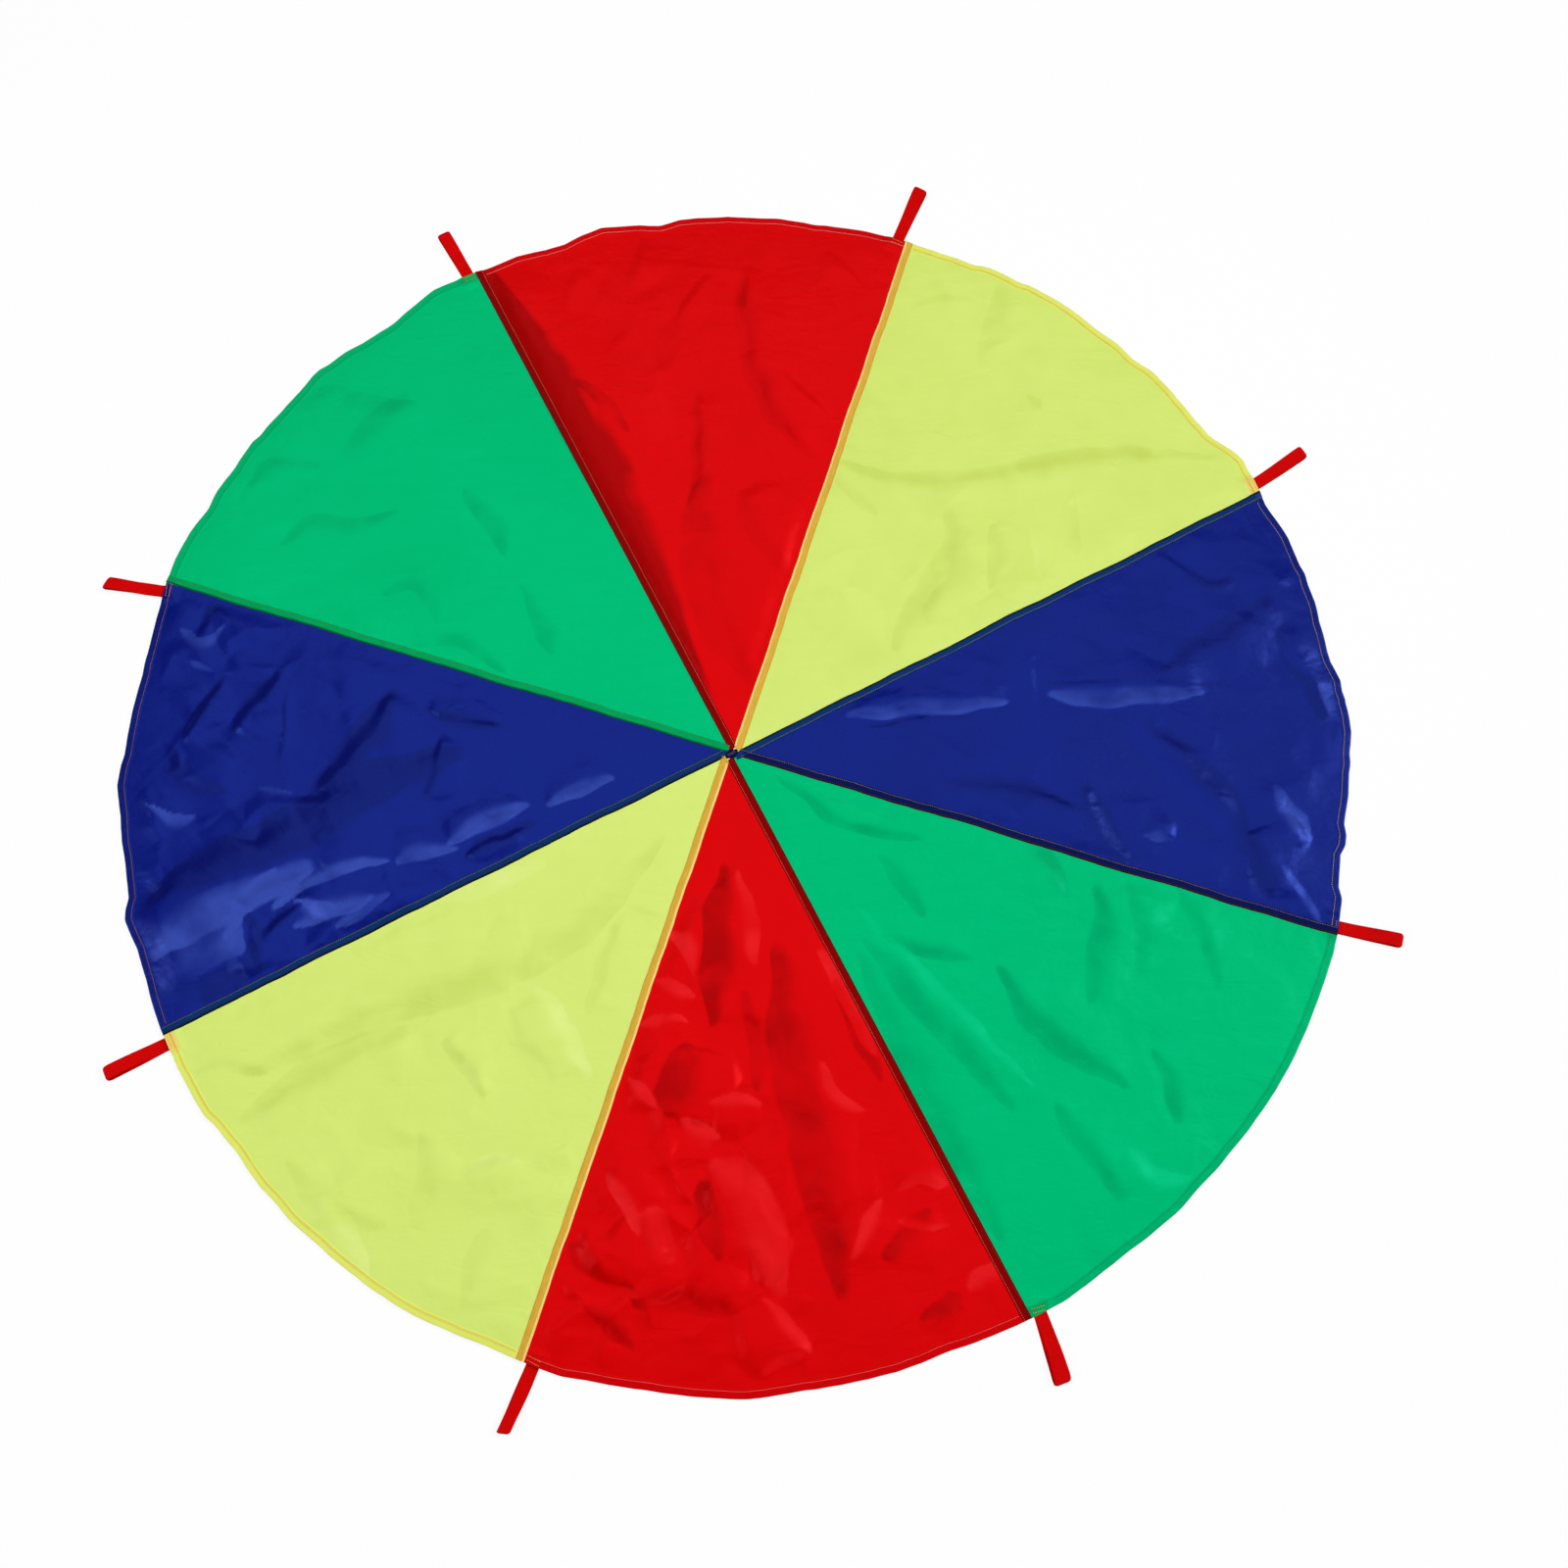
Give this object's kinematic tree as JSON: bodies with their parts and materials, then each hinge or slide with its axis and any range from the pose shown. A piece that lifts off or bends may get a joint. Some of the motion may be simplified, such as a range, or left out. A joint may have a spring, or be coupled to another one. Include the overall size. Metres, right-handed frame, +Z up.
{
  "type": "play parachute",
  "caption": "Round play parachute of wedge-shaped cloth gores in bright colours, with felled seams, a stitched hem and webbing loop handles round its rim, spread flat.",
  "frame": {"origin": "middle of the canopy, on the floor that it lies on", "axes": "+Z up out of the floor; +X through the middle of one blue gore, +Y through the middle of one red gore"},
  "size_m": [1.9913, 1.9803, 0.011],
  "materials": {
    "cloth_yellow": "satin",
    "cloth_red": "satin",
    "cloth_green": "satin",
    "cloth_blue": "satin",
    "seam_yellow": "satin",
    "seam_red": "satin",
    "seam_green": "satin",
    "seam_blue": "satin",
    "webbing_red": "matte",
    "thread_orange": "matte"
  },
  "bodies": {
    "left_half": {"gore_3_green": "cloth_green", "handle_tail_3": "webbing_red", "hem_thread_3": "thread_orange", "handle_tack_3": "thread_orange", "gore_4_blue": "cloth_blue", "handle_tail_4": "webbing_red", "hem_thread_4": "thread_orange", "handle_tack_4": "thread_orange", "gore_5_yellow": "cloth_yellow", "handle_tail_5": "webbing_red", "hem_thread_5": "thread_orange", "handle_tack_5": "thread_orange", "gore_6_red": "cloth_red", "handle_tail_6": "webbing_red", "hem_thread_6": "thread_orange", "handle_tack_6": "thread_orange", "felled_seam_4": "seam_green", "seam_thread_4": "thread_orange", "felled_seam_5": "seam_blue", "seam_thread_5": "thread_orange", "felled_seam_6": "seam_yellow", "seam_thread_6": "thread_orange", "felled_seam_7": "seam_red", "seam_thread_7": "thread_orange", "centre_overlap": "seam_blue", "centre_bartack": "thread_orange"},
    "right_half": {"gore_1_yellow": "cloth_yellow", "handle_tail_1": "webbing_red", "hem_thread_1": "thread_orange", "handle_tack_1": "thread_orange", "gore_2_red": "cloth_red", "handle_tail_2": "webbing_red", "hem_thread_2": "thread_orange", "handle_tack_2": "thread_orange", "gore_7_green": "cloth_green", "handle_tail_7": "webbing_red", "hem_thread_7": "thread_orange", "handle_tack_7": "thread_orange", "gore_8_blue": "cloth_blue", "handle_tail_8": "webbing_red", "hem_thread_8": "thread_orange", "handle_tack_8": "thread_orange", "felled_seam_1": "seam_blue", "seam_thread_1": "thread_orange", "felled_seam_2": "seam_yellow", "seam_thread_2": "thread_orange", "felled_seam_3": "seam_red", "seam_thread_3": "thread_orange", "felled_seam_8": "seam_blue", "seam_thread_8": "thread_orange"},
    "handle_1": {"handle_loop_1": "webbing_red"},
    "handle_2": {"handle_loop_2": "webbing_red"},
    "handle_3": {"handle_loop_3": "webbing_red"},
    "handle_4": {"handle_loop_4": "webbing_red"},
    "handle_5": {"handle_loop_5": "webbing_red"},
    "handle_6": {"handle_loop_6": "webbing_red"},
    "handle_7": {"handle_loop_7": "webbing_red"},
    "handle_8": {"handle_loop_8": "webbing_red"}
  },
  "joints": [
    {"name": "handle_1_swing", "type": "hinge", "parent": "right_half", "child": "handle_1", "pos_m": [0.88883, 0.38358, 0.002], "axis": [-0.4772, 0.8788, 0], "range_deg": [-150, 0]},
    {"name": "handle_2_swing", "type": "hinge", "parent": "right_half", "child": "handle_2", "pos_m": [0.35869, 0.89915, 0.002], "axis": [-0.887, 0.4617, 0], "range_deg": [-150, 0]},
    {"name": "handle_3_swing", "type": "hinge", "parent": "left_half", "child": "handle_3", "pos_m": [-0.38308, 0.88907, 0.002], "axis": [-0.91, -0.4147, 0], "range_deg": [-150, 0]},
    {"name": "handle_4_swing", "type": "hinge", "parent": "left_half", "child": "handle_4", "pos_m": [-0.89983, 0.35686, 0.002], "axis": [-0.2334, -0.9724, 0], "range_deg": [-150, 0]},
    {"name": "handle_5_swing", "type": "hinge", "parent": "left_half", "child": "handle_5", "pos_m": [-0.88919, -0.38282, 0.002], "axis": [0.3827, -0.9239, 0], "range_deg": [-150, 0]},
    {"name": "handle_6_swing", "type": "hinge", "parent": "left_half", "child": "handle_6", "pos_m": [-0.35856, -0.89921, 0.002], "axis": [0.8949, -0.4462, 0], "range_deg": [-150, 0]},
    {"name": "handle_7_swing", "type": "hinge", "parent": "right_half", "child": "handle_7", "pos_m": [0.38163, -0.88957, 0.002], "axis": [0.9724, 0.2334, 0], "range_deg": [-150, 0]},
    {"name": "handle_8_swing", "type": "hinge", "parent": "right_half", "child": "handle_8", "pos_m": [0.89964, -0.35753, 0.002], "axis": [0.3173, 0.9483, 0], "range_deg": [-150, 0]},
    {"name": "fold_in_half", "type": "hinge", "parent": "left_half", "child": "right_half", "pos_m": [0, 0, 0.005], "axis": [0.3827, -0.9239, 0], "range_deg": [0, 175]}
  ]
}
